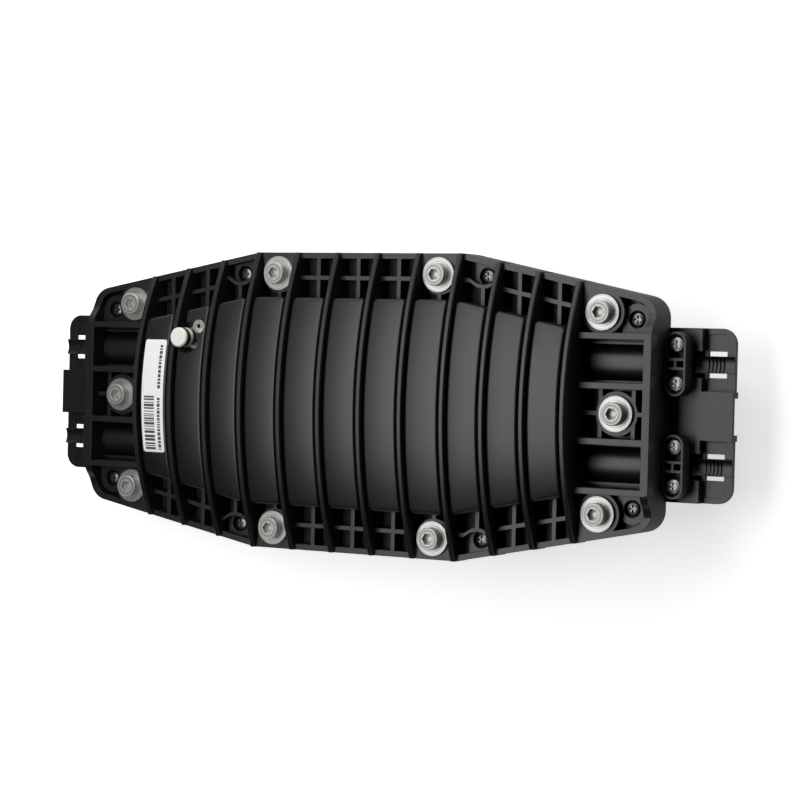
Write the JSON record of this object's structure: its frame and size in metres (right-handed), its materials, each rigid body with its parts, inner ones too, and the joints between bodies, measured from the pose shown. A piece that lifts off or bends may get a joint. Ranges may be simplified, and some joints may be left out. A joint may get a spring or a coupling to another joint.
{
  "type": "inline splice closure",
  "caption": "Waisted two-shell fibre splice closure with arched ribs, a bolted rim, cable ports with clamp bars at both ends, a test valve, and splice trays inside.",
  "frame": {"origin": "middle of the closure on the plane that the base's ribs stand on", "axes": "+X along the closure towards its right end, +Y across it towards the valve's side, +Z out of the cover"},
  "size_m": [0.3606, 0.1404, 0.0649],
  "materials": {
    "black_polypropylene": "satin moulded black",
    "stainless_steel": "bright machined steel",
    "black_rubber": "matt black rubber",
    "plated_valve_metal": "nickel plate",
    "label_film": "matt white film",
    "grey_tray_plastic": "satin moulded light grey",
    "white_holder_plastic": "satin moulded white",
    "clear_lid_plastic": "clear sheet"
  },
  "bodies": {
    "base": {"base_shell": "black_polypropylene", "end_bracket_left": "black_polypropylene", "end_bracket_right": "black_polypropylene", "base_nuts": "stainless_steel", "bracket_screws": "stainless_steel", "anchor_screws": "stainless_steel", "tray_hinge_pins": "stainless_steel", "strength_anchor_left_front": "stainless_steel", "strength_anchor_left_rear": "stainless_steel", "strength_anchor_right_front": "stainless_steel", "strength_anchor_right_rear": "stainless_steel", "side_gasket_front": "black_rubber", "side_gasket_rear": "black_rubber", "end_gasket_left": "black_rubber", "end_gasket_right": "black_rubber", "port_seal_left_front": "black_rubber", "port_seal_left_rear": "black_rubber", "port_seal_right_front": "black_rubber", "port_seal_right_rear": "black_rubber", "fibre_basket": "grey_tray_plastic", "lower_splice_tray": "grey_tray_plastic", "upper_splice_tray": "grey_tray_plastic", "lower_splice_holder": "white_holder_plastic", "upper_splice_holder": "white_holder_plastic", "tray_lid": "clear_lid_plastic"},
    "cover": {"top_cover": "black_polypropylene", "cover_bolts": "stainless_steel", "bolt_washers": "stainless_steel", "cover_screws": "stainless_steel", "valve_body": "plated_valve_metal", "valve_neck_ring": "black_rubber", "valve_pin": "plated_valve_metal", "valve_seal": "black_rubber", "valve_nut": "plated_valve_metal", "valve_tag": "plated_valve_metal", "label": "label_film"},
    "valve_cap": {"valve_cap": "plated_valve_metal"},
    "clamp_left_front": {"cable_clamp_left_front": "black_polypropylene", "clamp_screws_left_front": "stainless_steel"},
    "clamp_left_rear": {"cable_clamp_left_rear": "black_polypropylene", "clamp_screws_left_rear": "stainless_steel"},
    "clamp_right_front": {"cable_clamp_right_front": "black_polypropylene", "clamp_screws_right_front": "stainless_steel"},
    "clamp_right_rear": {"cable_clamp_right_rear": "black_polypropylene", "clamp_screws_right_rear": "stainless_steel"}
  },
  "joints": [
    {"name": "cover_lift", "type": "slide", "parent": "base", "child": "cover", "axis": [0, 0, 1], "range_m": [0, 0.12]},
    {"name": "valve_cap_lift", "type": "slide", "parent": "cover", "child": "valve_cap", "axis": [0, 0, 1], "range_m": [0, 0.02]},
    {"name": "clamp_lift_left_front", "type": "slide", "parent": "base", "child": "clamp_left_front", "axis": [0, 0, 1], "range_m": [0, 0.009]},
    {"name": "clamp_lift_left_rear", "type": "slide", "parent": "base", "child": "clamp_left_rear", "axis": [0, 0, 1], "range_m": [0, 0.009]},
    {"name": "clamp_lift_right_front", "type": "slide", "parent": "base", "child": "clamp_right_front", "axis": [0, 0, 1], "range_m": [0, 0.009]},
    {"name": "clamp_lift_right_rear", "type": "slide", "parent": "base", "child": "clamp_right_rear", "axis": [0, 0, 1], "range_m": [0, 0.009]}
  ]
}
